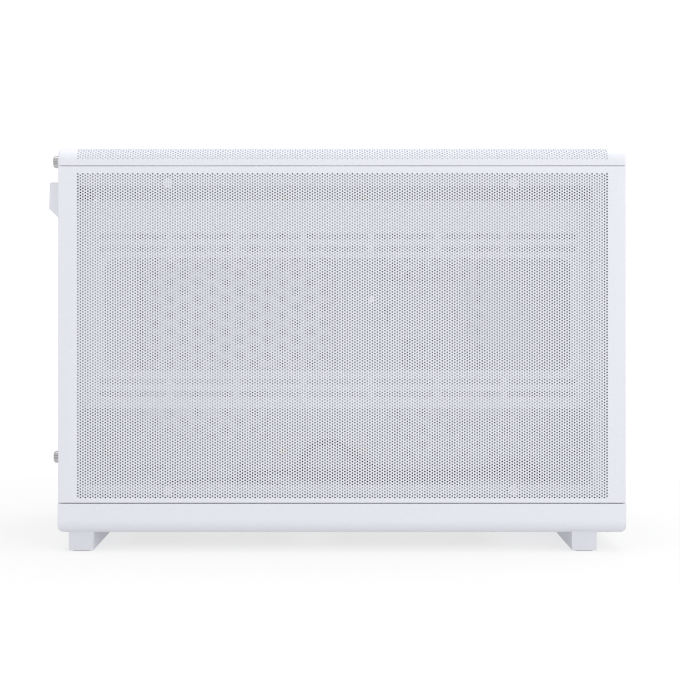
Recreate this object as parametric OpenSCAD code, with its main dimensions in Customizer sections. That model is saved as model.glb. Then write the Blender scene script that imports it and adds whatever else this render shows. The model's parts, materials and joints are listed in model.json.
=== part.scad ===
// Compact desktop computer tower: a white sheet-steel chassis with mesh covers.
// +X is the front, -Y the left side panel, +Z up. The floor under the feet is z = 0.

/* [Case] */
// Length from the rear face to the front face of the body
body_l = 443; // [440:1:446]
// Width over the two side panels
body_w = 194; // [192:1:198]
// Height from the floor to the top of the cover
body_h = 315; // [314:1:318]
// How far the power inlet hood stands out behind the body
hood_out = 10; // [8:1:12]

/* [Sheet metal] */
// Thickness of the outer panels
panel_t = 1; // [0.8:0.1:1.2]
// Thickness of the chassis sheets
sheet_t = 1; // [0.8:0.1:1.2]

/* [Base] */
// Height of the feet
foot_h = 14.4; // [13:0.2:15]
// Height of the lower shroud's upper rim
base_top = 38; // [37.6:0.1:38.2]
// Wall of the lower shroud and the top cover
shell_t = 2; // [1.6:0.1:2.2]
// Radius of the long edges of the shroud and the cover
edge_r = 10; // [8:0.5:11]

/* [Fans] */
// Hole spacing of a 120 mm fan
fan_pitch = 105; // [104.8:0.1:105.2]
// Radius of a fan's round window
fan_r = 57; // [54:1:58]
// Radius of a fan screw hole
fan_hole_r = 2.2; // [2:0.1:2.4]

/* [Hidden] */
$fn = 48;

// Body box
x_rear = -(body_l + hood_out) / 2 + hood_out;
x_front = x_rear + body_l;
y_out = body_w / 2;
y_in = y_out - panel_t;
panel_z0 = base_top + 0.6;
panel_z1 = 301;
cover_z0 = 301.4;

front_skin_x = x_front - 9.5;
front_skin_y = y_in - 0.3;

// Chassis planes
rear_t = 1.2;
rear_x = x_rear + 1.1;
rear_in = rear_x + rear_t;
front_x = x_front - 12.2;
rail_y = 91;
rail_low = 52;
rail_high = 286;
frame_top = 300;
tray_y = 80;
tray_x0 = rear_in;
tray_x1 = front_x;
flange_front_x = front_x - 13.3;
flange_rear_x = rear_in + 12.2;

// Feet
foot_rear_x0 = -208.8;
foot_front_x0 = 184.9;
foot_l = 19.6;
foot_taper = 0.3;
foot_inset = 5;
pad_h = 0.8;

// Bottom filter and the air intakes above it
filter_z = 31;
filter_t = 2.4;
filter_x0 = -190;
filter_x1 = 150;
filter_w = 168;
intake_x = [-100, 60];

// Side panel clips
stud_x = [-130.6, 138.5];
stud_z = [48.4, 288];
stud_r = 2.3;
socket_bore_r = 2.6;
socket_r = 3.5;
socket_flange_r = 5;

// Side fan bracket
bracket_y = -81.2;
bracket_x0 = -204;
bracket_x1 = 211.5;
bracket_z0 = 111;
bracket_z1 = 274.7;
window_x0 = -182.2;
window_x1 = 186;
window_z0 = 140.6;
window_z1 = 229.7;
slot_row_x0 = -186.7;
slot_row_x1 = 189.9;
slot_bridge_x0 = -131.05;
slot_bridge_pitch = 52.9;
slot_bridge_count = 6;
slot_bridge_w = 4;
slot_h = 4.7;
slot_mid_z = 184.5;
slot_inner = fan_pitch / 2;
slot_outer = 124.5 / 2;
bracket_screw_x = [-208, 206.2];
bracket_screw_z = [118, 267.3];

// Front frame
front_window_w = 118;

// Motherboard: three columns and the rows of the small-board hole pattern
board_x = -203.2;
board_z = 58.4;
col_2 = 154.94;
col_3 = 227.33;
row_2 = 45.72;
row_3 = row_2 + 157.48;
row_4 = row_3 + 22.86;
standoff_h = 6.5;
standoff_hole_r = 1.5;
STANDOFFS = [
  [0, 0], [col_2, 0], [col_3, 0], [0, row_2], [col_2, row_2], [col_3, row_2],
  [0, row_3], [col_2, row_4], [col_3, row_4]
];

// Drive plate
plate_y = tray_y - sheet_t;
plate_screws = [[32, 195], [47, 48], [32, 128]];

// Expansion slots
slot_z0 = 54.2;
slot_pitch = 20.32;
slot_count = 4;
slot_cover_h = 18.4;
slot_y0 = -34;
slot_y1 = 71;
slot_tab_w = 11;

// Rear thumbscrews
thumb_r = 4.75;
thumb_y = 87;
thumb_top_z = 304.9;
thumb_low_z = 73.3;
shank_r = 2;
bar_x = rear_x - 1;

// Exhaust fan
exhaust_y = -28;
exhaust_z = 178;
exhaust_r = 49;
exhaust_pitch = 82.5;

// Power inlet
inlet_y = -52;
inlet_z = 275.2;
hood_w = 56;
hood_z0 = 260.9;
hood_z1 = 289.5;

// Ports on the front of the shroud
port_z = 27;
usb_y = [-30, -10];
type_c_y = 10;
audio_y = 26;
button_y = -62;
light_y = -48;
button_r = 6;
button_travel = 1.5;
board_top = 22.6;

// Power supply bracket
psu_z = 268;
psu_x0 = 124;
psu_hole_x = 64;
psu_hole_y = 138;

// Cables
grommet_x = 176;
grommet_y = 40;
grommet_r = 13;
USB_D = 6.6;
TYPE_C_D = 5.4;
AUDIO_D = 4.2;
USB_ROUTE = [
  [196, -20, 26], [186, -16, 26], [177, -2, 26.5], [172, 16, 27], [172, 31, 31], [173, 37, 42],
  [164, 39, 52], [148, 42, 51], [132, 45, 45], [112, 48, 42], [90, 46, 42], [66, 44, 42],
  [42, 46, 42], [18, 50, 42], [-4, 52, 42], [-22, 50, 42], [-34, 43, 42], [-32, 32, 42],
  [-18, 27, 42], [2, 28, 42], [24, 30, 42]
];
TYPE_C_ROUTE = [
  [196, 10, 26], [188, 13, 26], [182, 22, 26.5], [179, 32, 30], [179, 40, 40],
  [173, 48, 49], [160, 54, 50], [144, 57, 44], [124, 60, 41.2], [100, 60, 41.2],
  [76, 58, 41.2], [54, 60, 41.2], [36, 66, 43], [22, 71, 52], [8, 75, 62],
  [-6, 76.5, 67], [-20, 76.5, 63], [-29, 75, 52], [-30, 70, 43], [-24, 62, 41.2]
];
AUDIO_ROUTE = [
  [196, 26, 25.5], [190, 28, 25.5], [184, 34, 26], [181, 41, 30], [180, 46, 40],
  [175, 52, 47.5], [165, 61, 49], [150, 67, 42.5], [132, 70, 40.4], [110, 71, 40.4],
  [90, 69, 40.4], [70, 70, 40.4], [48, 73, 40.4], [26, 75, 40.4], [4, 74, 40.4],
  [-16, 76, 40.4], [-38, 74, 40.4], [-58, 66, 40.4], [-72, 54, 40.4]
];

// ---------------------------------------------------------------- helpers

// Sheets in the three planes: the outline is drawn in (X, Z), (Y, Z) or (X, Y)
module wall_xz(y0, t) { translate([0, y0 + t, 0]) rotate([90, 0, 0]) linear_extrude(t) children(); }
module wall_yz(x0, t) { translate([x0, 0, 0]) rotate([90, 0, 90]) linear_extrude(t) children(); }
module wall_xy(z0, t) { translate([0, 0, z0]) linear_extrude(t) children(); }

module rect(x0, x1, y0, y1) { translate([x0, y0]) square([x1 - x0, y1 - y0]); }

module round_rect(x0, x1, y0, y1, r) {
  rect(x0 + r, x1 - r, y0, y1);
  rect(x0, x1, y0 + r, y1 - r);
  for (x = [x0 + r, x1 - r], y = [y0 + r, y1 - r]) translate([x, y]) circle(r);
}

module pill(x0, x1, y, h) {
  rect(x0 + h / 2, x1 - h / 2, y - h / 2, y + h / 2);
  for (x = [x0 + h / 2, x1 - h / 2]) translate([x, y]) circle(h / 2);
}

module box(lo, hi) { translate(lo) cube(hi - lo); }

// A cylinder along X or Y, from a start point
module rod_x(x0, y, z, r, l) { translate([x0, y, z]) rotate([0, 90, 0]) cylinder(r = r, h = l); }
module rod_y(x, y0, z, r, l) { translate([x, y0, z]) rotate([-90, 0, 0]) cylinder(r = r, h = l); }

// A fan's window with its four screw holes
module fan_cutout(x, y) {
  translate([x, y]) {
    circle(fan_r);
    for (i = [-1, 1], j = [-1, 1]) translate([i, j] * fan_pitch / 2) circle(fan_hole_r);
  }
}

// A closed tube swept along a smooth curve through the points of a route
function blend(p, i, t) =
  let (a = p[max(i - 1, 0)], b = p[i], c = p[i + 1], d = p[min(i + 2, len(p) - 1)])
  0.5 * (2 * b + (c - a) * t + (2 * a - 5 * b + 4 * c - d) * t * t
    + (3 * b - a - 3 * c + d) * t * t * t);
function curve(p, steps) =
  [for (i = [0:len(p) - 2], k = [0:steps - 1]) blend(p, i, k / steps), p[len(p) - 1]];
function unit(v) = v / norm(v);
function heading(p, i) = unit(p[min(i + 1, len(p) - 1)] - p[max(i - 1, 0)]);
module tube(route, d, steps) {
  p = curve(route, steps);
  n = d < 4 ? 8 : 10;
  rings = [
    for (i = [0:len(p) - 1])
      let (t = heading(p, i), u = unit(cross(t, [0.1, 0.2, 1])), v = cross(u, t))
        for (k = [0:n - 1]) p[i] + (u * cos(360 * k / n) + v * sin(360 * k / n)) * d / 2
  ];
  sides = [
    for (i = [0:len(p) - 2], k = [0:n - 1])
      [i * n + k, i * n + (k + 1) % n, (i + 1) * n + (k + 1) % n, (i + 1) * n + k]
  ];
  first = [for (k = [n - 1:-1:0]) k];
  last = [for (k = [0:n - 1]) (len(p) - 1) * n + k];
  polyhedron(rings, concat([first, last], sides), convexity = 6);
}

// ---------------------------------------------------------------- base and feet

module shroud_block(inset, z0, z1) {
  r = edge_r - inset;
  intersection() {
    wall_yz(x_rear + inset, body_l - 2 * inset)
      difference() {
        round_rect(-y_out + inset, y_out - inset, z0, z1 + r, r);
        rect(-y_out, y_out, z1, z1 + 2 * edge_r);
      }
    wall_xz(-y_out, body_w)
      difference() {
        round_rect(x_rear + inset, x_front - inset, z0, z1 + 5, 5 - inset);
        rect(x_rear, x_front, z1, z1 + 10);
      }
  }
}

module base_shroud() {
  color("white") difference() {
    shroud_block(0, foot_h, base_top);
    shroud_block(shell_t, foot_h + shell_t, base_top + 0.01);
    // air intake windows in the bottom
    for (x = intake_x)
      wall_xy(foot_h - 1, shell_t + 2) round_rect(x - 68, x + 68, -68, 68, 8);
    // mouth of the filter in the rear wall
    wall_yz(x_rear - 1, shell_t + 2)
      rect(-filter_w / 2 - 0.5, filter_w / 2 + 0.5, filter_z - 0.5, filter_z + filter_t + 0.5);
    // port openings in the front wall
    for (y = usb_y) wall_yz(x_front - 3, 4) rect(y - 6.9, y + 6.9, port_z - 3.3, port_z + 3.3);
    wall_yz(x_front - 3, 4) pill(type_c_y - 5, type_c_y + 5, port_z, 4);
    rod_x(x_front - 3, audio_y, port_z, 3.1, 4);
    rod_x(x_front - 3, button_y, port_z, button_r + 0.3, 4);
    rod_x(x_front - 3, light_y, port_z, 1.1, 4);
  }
  // rails that carry the filter
  color("white") for (s = [-1, 1])
    box([filter_x0, s * 88 - 3, foot_h + shell_t], [filter_x1 + 4, s * 88 + 3, base_top - sheet_t]);
}

// A bar foot that narrows a little toward the floor and meets the shroud's curved edge
module foot(x0) {
  color("white") difference() {
    wall_xz(-y_out + foot_inset, body_w - 2 * foot_inset)
      polygon([
        [x0, foot_h + 3], [x0, foot_h], [x0 + foot_taper, pad_h],
        [x0 + foot_l - foot_taper, pad_h], [x0 + foot_l, foot_h], [x0 + foot_l, foot_h + 3]
      ]);
    shroud_block(0, foot_h, base_top);
  }
}
module foot_rear() { foot(foot_rear_x0); }
module foot_front() { foot(foot_front_x0); }
module foot_pads() {
  color("dimgray")
    for (x0 = [foot_rear_x0, foot_front_x0], s = [-1, 1])
      wall_xy(0, pad_h) round_rect(x0 + 2.5, x0 + foot_l - 2.5, s * 68 - 22, s * 68 + 22, 3);
}

module bottom_filter_frame() {
  color("white") {
    difference() {
      wall_xy(filter_z, filter_t) round_rect(filter_x0, filter_x1, -82, 82, 3);
      for (x = intake_x) wall_xy(filter_z - 1, filter_t + 2) round_rect(x - 70, x + 70, -72, 72, 4);
    }
    // pull tab through the mouth
    wall_xy(filter_z, filter_t) round_rect(x_rear - 3, filter_x0 + 5, -20, 20, 3);
  }
}
module bottom_filter_mesh() {
  color("gainsboro") for (x = intake_x) wall_xy(filter_z + 0.8, 0.6) round_rect(x - 70, x + 70, -72, 72, 4);
}

// ---------------------------------------------------------------- chassis

module chassis_floor() {
  color("white") difference() {
    union() {
      wall_xy(base_top - sheet_t, sheet_t) rect(x_rear + shell_t, front_x + 4, -94.9, 94.9);
      for (s = [-1, 1])
        wall_xz(s * (rail_y + 0.5) - 0.5, sheet_t) rect(rear_in, front_x, base_top, rail_low);
    }
    for (x = intake_x) wall_xy(base_top - 2, 3) fan_cutout(x, 0);
    wall_xy(base_top - 2, 3) translate([grommet_x, grommet_y]) circle(grommet_r);
    for (s = [-1, 1], x = stud_x) rod_y(x, s * rail_y - 3, stud_z[0], socket_r, 6);
  }
}

module top_frame() {
  color("white") difference() {
    union() {
      wall_xy(frame_top - sheet_t, sheet_t) rect(rear_in, front_x, -92, 92);
      for (s = [-1, 1]) {
        wall_xz(s * (rail_y + 0.5) - 0.5, sheet_t) rect(rear_in, front_x, rail_high, frame_top - sheet_t);
        // ears for the cover's thumbscrews
        wall_yz(rear_in, sheet_t) rect(s * thumb_y - 5, s * thumb_y + 5, frame_top, 311);
      }
    }
    for (x = [-130, 0, 130]) wall_xy(frame_top - 2, 3) fan_cutout(x, 0);
    for (s = [-1, 1], x = stud_x) rod_y(x, s * rail_y - 3, stud_z[1], socket_r, 6);
    for (s = [-1, 1]) rod_x(rear_in - 1, s * thumb_y, thumb_top_z, shank_r, 4);
  }
}

module rear_panel() {
  color("white") difference() {
    union() {
      wall_yz(rear_x, rear_t) rect(-94, 94, base_top, frame_top);
      for (s = [-1, 1])
        wall_xz(s * (rail_y + 0.5) - 0.5, sheet_t) rect(rear_in, flange_rear_x, rail_low, rail_high);
    }
    wall_yz(rear_x - 1, 4) {
      // input-output aperture, exhaust fan, power inlet
      rect(29, 73.5, 126.5, 285.25);
      translate([exhaust_y, exhaust_z]) {
        circle(exhaust_r);
        for (i = [-1, 1], j = [-1, 1]) translate([i, j] * exhaust_pitch / 2) circle(fan_hole_r);
      }
      rect(inlet_y - 24, inlet_y + 24, inlet_z - 12, inlet_z + 12);
      for (i = [0:slot_count - 1]) translate([0, slot_z0 + i * slot_pitch])
        rect(slot_y0, slot_y1, -slot_cover_h / 2, slot_cover_h / 2);
    }
    rod_x(rear_x - 1, -thumb_y + 1, thumb_low_z, shank_r, 4);
    for (i = [0:slot_count - 1]) rod_x(rear_x - 1, slot_y0 - 6, slot_z0 + i * slot_pitch, 1.5, 4);
    for (s = [-1, 1], z = bracket_screw_z) rod_y(bracket_screw_x[0], s * rail_y - 3, z, 1.5, 6);
  }
}

module front_frame() {
  color("white") difference() {
    union() {
      wall_yz(front_x, sheet_t) rect(-92, 92, base_top, frame_top);
      for (s = [-1, 1])
        wall_xz(s * (rail_y + 0.5) - 0.5, sheet_t) rect(flange_front_x, front_x, rail_low, rail_high);
    }
    wall_yz(front_x - 1, 3) {
      round_rect(-front_window_w / 2, front_window_w / 2, 112, 250, 8);
      for (s = [-1, 1], z = [60, 280]) translate([s * 76, z]) circle(socket_r);
      for (s = [-1, 1]) translate([s * 66, 261]) circle(1.5);
    }
    for (s = [-1, 1], z = bracket_screw_z) rod_y(bracket_screw_x[1], s * rail_y - 3, z, 1.5, 6);
  }
}

module motherboard_tray() {
  color("white") difference() {
    wall_xz(tray_y, sheet_t) rect(tray_x0, tray_x1, base_top, frame_top - sheet_t);
    wall_xz(tray_y - 1, sheet_t + 2) {
      round_rect(-180, 0, 126, 262, 5);
      round_rect(-180, -60, 67.6, 112, 5);
      round_rect(40, 134.4, 126, 262, 5);
      difference() {
        round_rect(53.5, 192, 52, 112, 4);
        round_rect(101.6, 133.3, 86, 130, 4);
      }
      pill(-180, -153, 39.5 + 3, 4);
      for (p = [[-202.9, 45.4], [-85.2, 45.8]]) translate(p) circle(2.4);
      for (p = STANDOFFS) translate([board_x + p[0], board_z + p[1]]) circle(1.7);
      for (p = plate_screws) translate(p) circle(1.5);
    }
  }
}

module standoffs() {
  color("goldenrod") for (p = STANDOFFS)
    translate([board_x + p[0], tray_y, board_z + p[1]]) rotate([90, 0, 0]) difference() {
      cylinder(r = 3.2, h = standoff_h, $fn = 6);
      translate([0, 0, -1]) cylinder(r = standoff_hole_r, h = standoff_h + 2, $fn = 32);
    }
}

// ---------------------------------------------------------------- rear pieces

module slot_cover(i) {
  z = slot_z0 + i * slot_pitch;
  color("white") difference() {
    union() {
      wall_yz(rear_x, sheet_t) rect(slot_y0, slot_y1, z - slot_cover_h / 2, z + slot_cover_h / 2);
      wall_yz(rear_x - 0.8, 0.8) translate([0, z])
        rect(slot_y0 - slot_tab_w, slot_y0 + 3, -slot_cover_h / 2, slot_cover_h / 2);
    }
    // pressed grooves on the outside
    wall_yz(rear_x - 1, 1.5) for (k = [0:3], h = [-4, 0, 4]) pill(-26 + k * 24, -6 + k * 24, z + h, 1.8);
    rod_x(rear_x - 2, slot_y0 - 6, z, 1.5, 4);
  }
}
module slot_cover_1() { slot_cover(0); }
module slot_cover_2() { slot_cover(1); }
module slot_cover_3() { slot_cover(2); }
module slot_cover_4() { slot_cover(3); }

module pan_screw_x(x0, y, z, dir, l) {
  translate([x0, y, z]) rotate([0, 90 * dir, 0]) difference() {
    union() {
      cylinder(r = 1.5, h = l);
      translate([0, 0, -1.8]) cylinder(r = 3, h = 1.8);
    }
    for (a = [0, 90]) rotate([0, 0, a]) translate([-1.8, -0.35, -2]) cube([3.6, 0.7, 1.2]);
  }
}
module pan_screw_y(x, y0, z, dir, l) {
  translate([x, y0, z]) rotate([-90 * dir, 0, 0]) difference() {
    union() {
      cylinder(r = 1.5, h = l);
      translate([0, 0, -1.8]) cylinder(r = 3, h = 1.8);
    }
    for (a = [0, 90]) rotate([0, 0, a]) translate([-1.8, -0.35, -2]) cube([3.6, 0.7, 1.2]);
  }
}

module slot_screws() {
  color("silver") for (i = [0:slot_count - 1])
    pan_screw_x(rear_x - 0.8, slot_y0 - 6, slot_z0 + i * slot_pitch, 1, 4);
}

module slot_bar() {
  color("white") difference() {
    wall_yz(bar_x, 1) round_rect(-92, -47, 45, 124, 2);
    rod_x(bar_x - 1, -thumb_y + 1, thumb_low_z, shank_r + 0.3, 3);
  }
}

module thumbscrew(y, z, x_head) {
  color("gray") {
    difference() {
      translate([x_head - 4.6, y, z]) rotate([0, 90, 0]) {
        cylinder(r1 = thumb_r - 1, r2 = thumb_r, h = 1);
        translate([0, 0, 1]) cylinder(r = thumb_r, h = 3.6);
      }
      for (k = [0:19])
        translate([x_head - 4.8, y, z]) rotate([18 * k, 0, 0]) translate([0, thumb_r, 0]) rotate([45, 0, 0])
          translate([-0.1, -0.35, -0.35]) cube([4, 0.7, 0.7]);
      translate([x_head - 5, y - 3, z - 0.5]) cube([1.4, 6, 1]);
      translate([x_head - 5, y - 0.5, z - 3]) cube([1.4, 1, 6]);
    }
    rod_x(x_head, y, z, shank_r - 0.05, 6);
  }
}
module slot_bar_thumbscrew() { thumbscrew(-thumb_y + 1, thumb_low_z, bar_x); }
module top_thumbscrew_left() { thumbscrew(-thumb_y, thumb_top_z, x_rear - 0.1); }
module top_thumbscrew_right() { thumbscrew(thumb_y, thumb_top_z, x_rear - 0.1); }

// A round guard of rings and spokes that fills the exhaust window
module exhaust_grille() {
  color("white") wall_yz(rear_x, sheet_t) translate([exhaust_y, exhaust_z]) {
    for (k = [0:4]) difference() {
      circle(exhaust_r - k * 10);
      circle(exhaust_r - k * 10 - 3.4);
    }
    for (a = [0:45:135]) rotate(a) intersection() {
      circle(exhaust_r - 1);
      square([2 * exhaust_r, 3], center = true);
    }
  }
}

module inlet_hood() {
  x0 = x_rear - hood_out;
  y0 = inlet_y - hood_w / 2;
  color("white") difference() {
    wall_xz(y0, hood_w)
      polygon([
        [rear_x, hood_z0], [x_rear - 2, hood_z0], [x0, hood_z0 + 7.8], [x0 + 0.6, hood_z1 - 0.8],
        [x0 + 2, hood_z1], [rear_x, hood_z1]
      ]);
    box([x0 - 1, inlet_y - 24, inlet_z - 6], [rear_x + 1, inlet_y + 24, inlet_z + 12]);
    box([x_rear + 0.5, inlet_y - 24, inlet_z - 12], [rear_x + 1, inlet_y + 24, inlet_z - 5]);
  }
}

module inlet_socket() {
  x0 = x_rear + 0.5;
  color("black") difference() {
    box([x0, inlet_y - 24, inlet_z - 12], [rear_in + 14, inlet_y + 24, inlet_z + 12]);
    box([x0 - 1, inlet_y - 12.2, inlet_z - 8], [rear_in + 11, inlet_y + 12.2, inlet_z + 8]);
  }
}
module inlet_pins() {
  color("silver") for (p = [[-7, -1.5], [0, 2.5], [7, -1.5]])
    translate([0, inlet_y + p[0], inlet_z + p[1]]) box([x_rear + 3.5, -1, -2], [rear_in + 11, 1, 2]);
}

// ---------------------------------------------------------------- brackets

module side_fan_bracket() {
  y1 = bracket_y + sheet_t;
  color("white") difference() {
    union() {
      wall_xz(bracket_y, sheet_t) rect(bracket_x0, bracket_x1, bracket_z0, bracket_z1);
      for (z = [bracket_z0, bracket_z1 - sheet_t]) box([bracket_x0, y1, z], [bracket_x1, y1 + 3.5, z + sheet_t]);
      for (x = [bracket_x0, bracket_x1 - sheet_t])
        box([x, -rail_y, bracket_z0], [x + sheet_t, bracket_y, bracket_z1]);
      box([bracket_screw_x[0] - 4, -rail_y, bracket_z0], [bracket_x0, -rail_y + sheet_t, bracket_z1]);
      box([bracket_screw_x[1] - 4, -rail_y, bracket_z0], [bracket_x1 - sheet_t, -rail_y + sheet_t, bracket_z1]);
    }
    wall_xz(bracket_y - 1, sheet_t + 2) {
      round_rect(window_x0, window_x1, window_z0, window_z1, 8);
      for (o = [slot_outer, slot_inner], s = [-1, 1])
        for (i = [0:slot_bridge_count])
          pill(
            i == 0 ? slot_row_x0 : slot_bridge_x0 + (i - 1) * slot_bridge_pitch + slot_bridge_w / 2,
            i == slot_bridge_count ? slot_row_x1 : slot_bridge_x0 + i * slot_bridge_pitch - slot_bridge_w / 2,
            slot_mid_z + s * o, slot_h
          );
    }
    for (x = bracket_screw_x, z = bracket_screw_z) rod_y(x, -rail_y - 1, z, 1.5, 3);
  }
}
module bracket_screws() {
  color("silver") for (x = bracket_screw_x, z = bracket_screw_z) pan_screw_y(x, -rail_y - sheet_t, z, 1, 4);
}

module psu_bracket() {
  color("white") difference() {
    union() {
      wall_xy(psu_z, 1.2) rect(psu_x0, front_x, -75, tray_y);
      box([front_x - 1.2, -75, psu_z - 14], [front_x, tray_y, psu_z]);
    }
    wall_xy(psu_z - 1, 4) translate([(psu_x0 + front_x) / 2, 2.5]) {
      round_rect(-26, 26, -62, 62, 4);
      for (i = [-1, 1], j = [-1, 1]) translate([i * psu_hole_x / 2, j * psu_hole_y / 2]) circle(2);
    }
    for (s = [-1, 1]) rod_x(front_x - 3, s * 66, 261, 1.5, 4);
  }
}
module psu_bracket_screws() {
  color("silver") for (s = [-1, 1]) pan_screw_x(front_x + sheet_t, s * 66, 261, -1, 4);
}

module drive_plate() {
  color("white") difference() {
    wall_xz(plate_y, sheet_t) {
      rect(41, 117, 108, 211.4);
      rect(41, 53, 44, 108);
      round_rect(28, 48, 187, 203, 3);
      round_rect(28, 48, 120, 136, 3);
    }
    wall_xz(plate_y - 1, sheet_t + 2) {
      for (x = [46.5, 108.5]) {
        translate([x, 185]) circle(4.2);
        rect(x - 1.8, x + 1.8, 177, 184);
        translate([x, 177]) circle(1.8);
      }
      for (x = [46.5, 112]) translate([x, 201]) circle(1.8);
      for (p = plate_screws) translate(p) circle(1.5);
      round_rect(60, 98, 132, 160, 4);
    }
  }
}
module drive_plate_screws() {
  color("silver") for (p = plate_screws) pan_screw_y(p[0], plate_y, p[1], 1, 4);
}

// ---------------------------------------------------------------- covers

module side_panel(s) {
  color("white") {
    wall_xz(s > 0 ? y_in : -y_out, panel_t) rect(x_rear + 0.5, x_front - 0.5, panel_z0, panel_z1);
    y0 = s > 0 ? y_in - 3.5 : -y_in;
    for (z = [panel_z0, panel_z1 - 0.8]) box([x_rear + 2.5, y0, z], [x_front - 11, y0 + 3.5, z + 0.8]);
  }
}
module left_side_panel() { side_panel(-1); }
module right_side_panel() { side_panel(1); }

// Ball studs that snap into the sockets in the rails
module studs(s) {
  color("silver") for (x = stud_x, z = stud_z)
    translate([x, s * y_in, z]) rotate([s * 90, 0, 0]) {
      cylinder(r = stud_r - 0.5, h = 8.5);
      translate([0, 0, 6.5]) cylinder(r = stud_r, h = 1.5);
      cylinder(r = 4, h = 1);
    }
}
module left_panel_studs() { studs(-1); }
module right_panel_studs() { studs(1); }

module rail_sockets() {
  color("white") for (s = [-1, 1], x = stud_x, z = stud_z)
    translate([x, s * (rail_y + sheet_t), z]) rotate([s * 90, 0, 0]) difference() {
      union() {
        cylinder(r = socket_r, h = 5);
        translate([0, 0, -1]) cylinder(r = socket_flange_r, h = 1);
      }
      translate([0, 0, -2]) cylinder(r = socket_bore_r, h = 8);
    }
}

module cover_block(inset, z0, z1) {
  r = edge_r - inset;
  intersection() {
    wall_yz(x_rear + inset, body_l - 2 * inset) difference() {
      round_rect(-y_out + inset, y_out - inset, z0 - 2 * r, z1, r);
      rect(-y_out, y_out, z0 - 3 * edge_r, z0);
    }
    wall_xz(-y_out, body_w) difference() {
      round_rect(x_rear + inset, x_front - inset, z0 - 10, z1, 3.5 - inset);
      rect(x_rear, x_front, z0 - 20, z0);
    }
  }
}
module top_cover() {
  color("white") difference() {
    cover_block(0, cover_z0, body_h);
    cover_block(shell_t, cover_z0 - 1, body_h - shell_t);
    for (s = [-1, 1]) {
      rod_x(x_rear - 1, s * thumb_y, thumb_top_z, shank_r + 0.3, 4);
      translate([0, s * thumb_y, 0])
        box([x_rear - 1, -shank_r - 0.3, cover_z0 - 1], [x_rear + 3, shank_r + 0.3, thumb_top_z]);
    }
  }
}

module front_panel() {
  color("white") difference() {
    box([front_skin_x, -front_skin_y, panel_z0], [x_front, front_skin_y, panel_z1]);
    translate([0, 0, panel_z0])
      box([front_skin_x - 1, -front_skin_y + 1.6, 1.6], [x_front - 1.6, front_skin_y - 1.6, panel_z1 - panel_z0 - 1.6]);
  }
}
module front_panel_studs() {
  color("silver") for (s = [-1, 1], z = [60, 280])
    translate([x_front - 1.6, s * 76, z]) rotate([0, -90, 0]) {
      cylinder(r = stud_r - 0.5, h = 14);
      translate([0, 0, 11.5]) cylinder(r = stud_r, h = 1.5);
      cylinder(r = 4, h = 1);
    }
}
module front_sockets() {
  color("white") for (s = [-1, 1], z = [60, 280])
    translate([front_x + sheet_t, s * 76, z]) rotate([0, -90, 0]) difference() {
      union() {
        cylinder(r = socket_r, h = 5);
        translate([0, 0, -1]) cylinder(r = socket_flange_r, h = 1);
      }
      translate([0, 0, -2]) cylinder(r = socket_bore_r, h = 8);
    }
}

// ---------------------------------------------------------------- ports

module io_board() {
  color("darkgreen") wall_xy(board_top - 1.6, 1.6) rect(196, 219.5, -76, 36);
  // posts under the board
  color("darkgreen") for (x = [200, 212], y = [-70, 31])
    translate([x, y, foot_h + shell_t]) cylinder(r = 2.2, h = board_top - 1.6 - foot_h - shell_t);
}
module usb_a_ports() {
  color("silver") for (y = usb_y) difference() {
    box([210, y - 6.8, port_z - 3.2], [x_front - 0.4, y + 6.8, port_z + 3.2]);
    box([213, y - 6.3, port_z - 2.7], [x_front, y + 6.3, port_z + 2.7]);
  }
  color("silver") for (y = usb_y) box([210, y - 6.8, board_top], [219.5, y + 6.8, port_z - 3.2]);
}
module usb_c_port() {
  color("silver") {
    wall_yz(214, x_front - 0.4 - 214) difference() {
      pill(type_c_y - 4.7, type_c_y + 4.7, port_z, 3.6);
      pill(type_c_y - 4.3, type_c_y + 4.3, port_z, 2.8);
    }
    box([210, type_c_y - 4.7, board_top], [214, type_c_y + 4.7, port_z + 1.8]);
  }
}
module audio_jack() {
  color("black") difference() {
    union() {
      rod_x(220, audio_y, port_z, 3, x_front - 0.4 - 220);
      box([208, audio_y - 3.6, board_top], [220, audio_y + 3.6, port_z + 3.4]);
    }
    rod_x(209, audio_y, port_z, 1.78, 20);
  }
}
module switch_body() {
  color("black") box([210, button_y - 3.5, board_top], [218.5, button_y + 3.5, port_z + 3.5]);
}
module power_button() {
  color("white") {
    rod_x(x_front - 3.2, button_y, port_z, button_r, 3.2);
    rod_x(218.6 + button_travel, button_y, port_z, 2, x_front - 3.2 - 218.6 - button_travel);
    rod_x(x_front - 4, button_y, port_z, button_r + 1, 0.8);
  }
}
module power_light() {
  color("lightcyan") {
    rod_x(216, light_y, port_z, 1, x_front - 0.1 - 216);
    box([210, light_y - 1.5, board_top], [216, light_y + 1.5, port_z + 1.5]);
  }
}

// ---------------------------------------------------------------- cables

module cable_grommet() {
  color("black") translate([grommet_x, grommet_y, base_top]) difference() {
    union() {
      translate([0, 0, -sheet_t]) cylinder(r = grommet_r, h = sheet_t);
      cylinder(r = grommet_r + 2, h = 1);
      translate([0, 0, -sheet_t - 1]) cylinder(r = grommet_r + 2, h = 1);
    }
    translate([0, 0, -5]) cylinder(r = grommet_r - 1.2, h = 8);
  }
}
module usb_cable() { color("black") tube(USB_ROUTE, USB_D, 1); }
module usb_connector() { color("black") box([24.6, 24, base_top + 0.5], [42, 36, 46]); }
module type_c_cable() { color("black") tube(TYPE_C_ROUTE, TYPE_C_D, 1); }
module type_c_connector() { color("black") box([-23.4, 57, base_top + 0.5], [-9, 66, 44]); }
module audio_cable() { color("black") tube(AUDIO_ROUTE, AUDIO_D, 1); }
module audio_connector() { color("black") box([-87, 47, base_top + 0.4], [-72.6, 60, 43]); }

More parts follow.
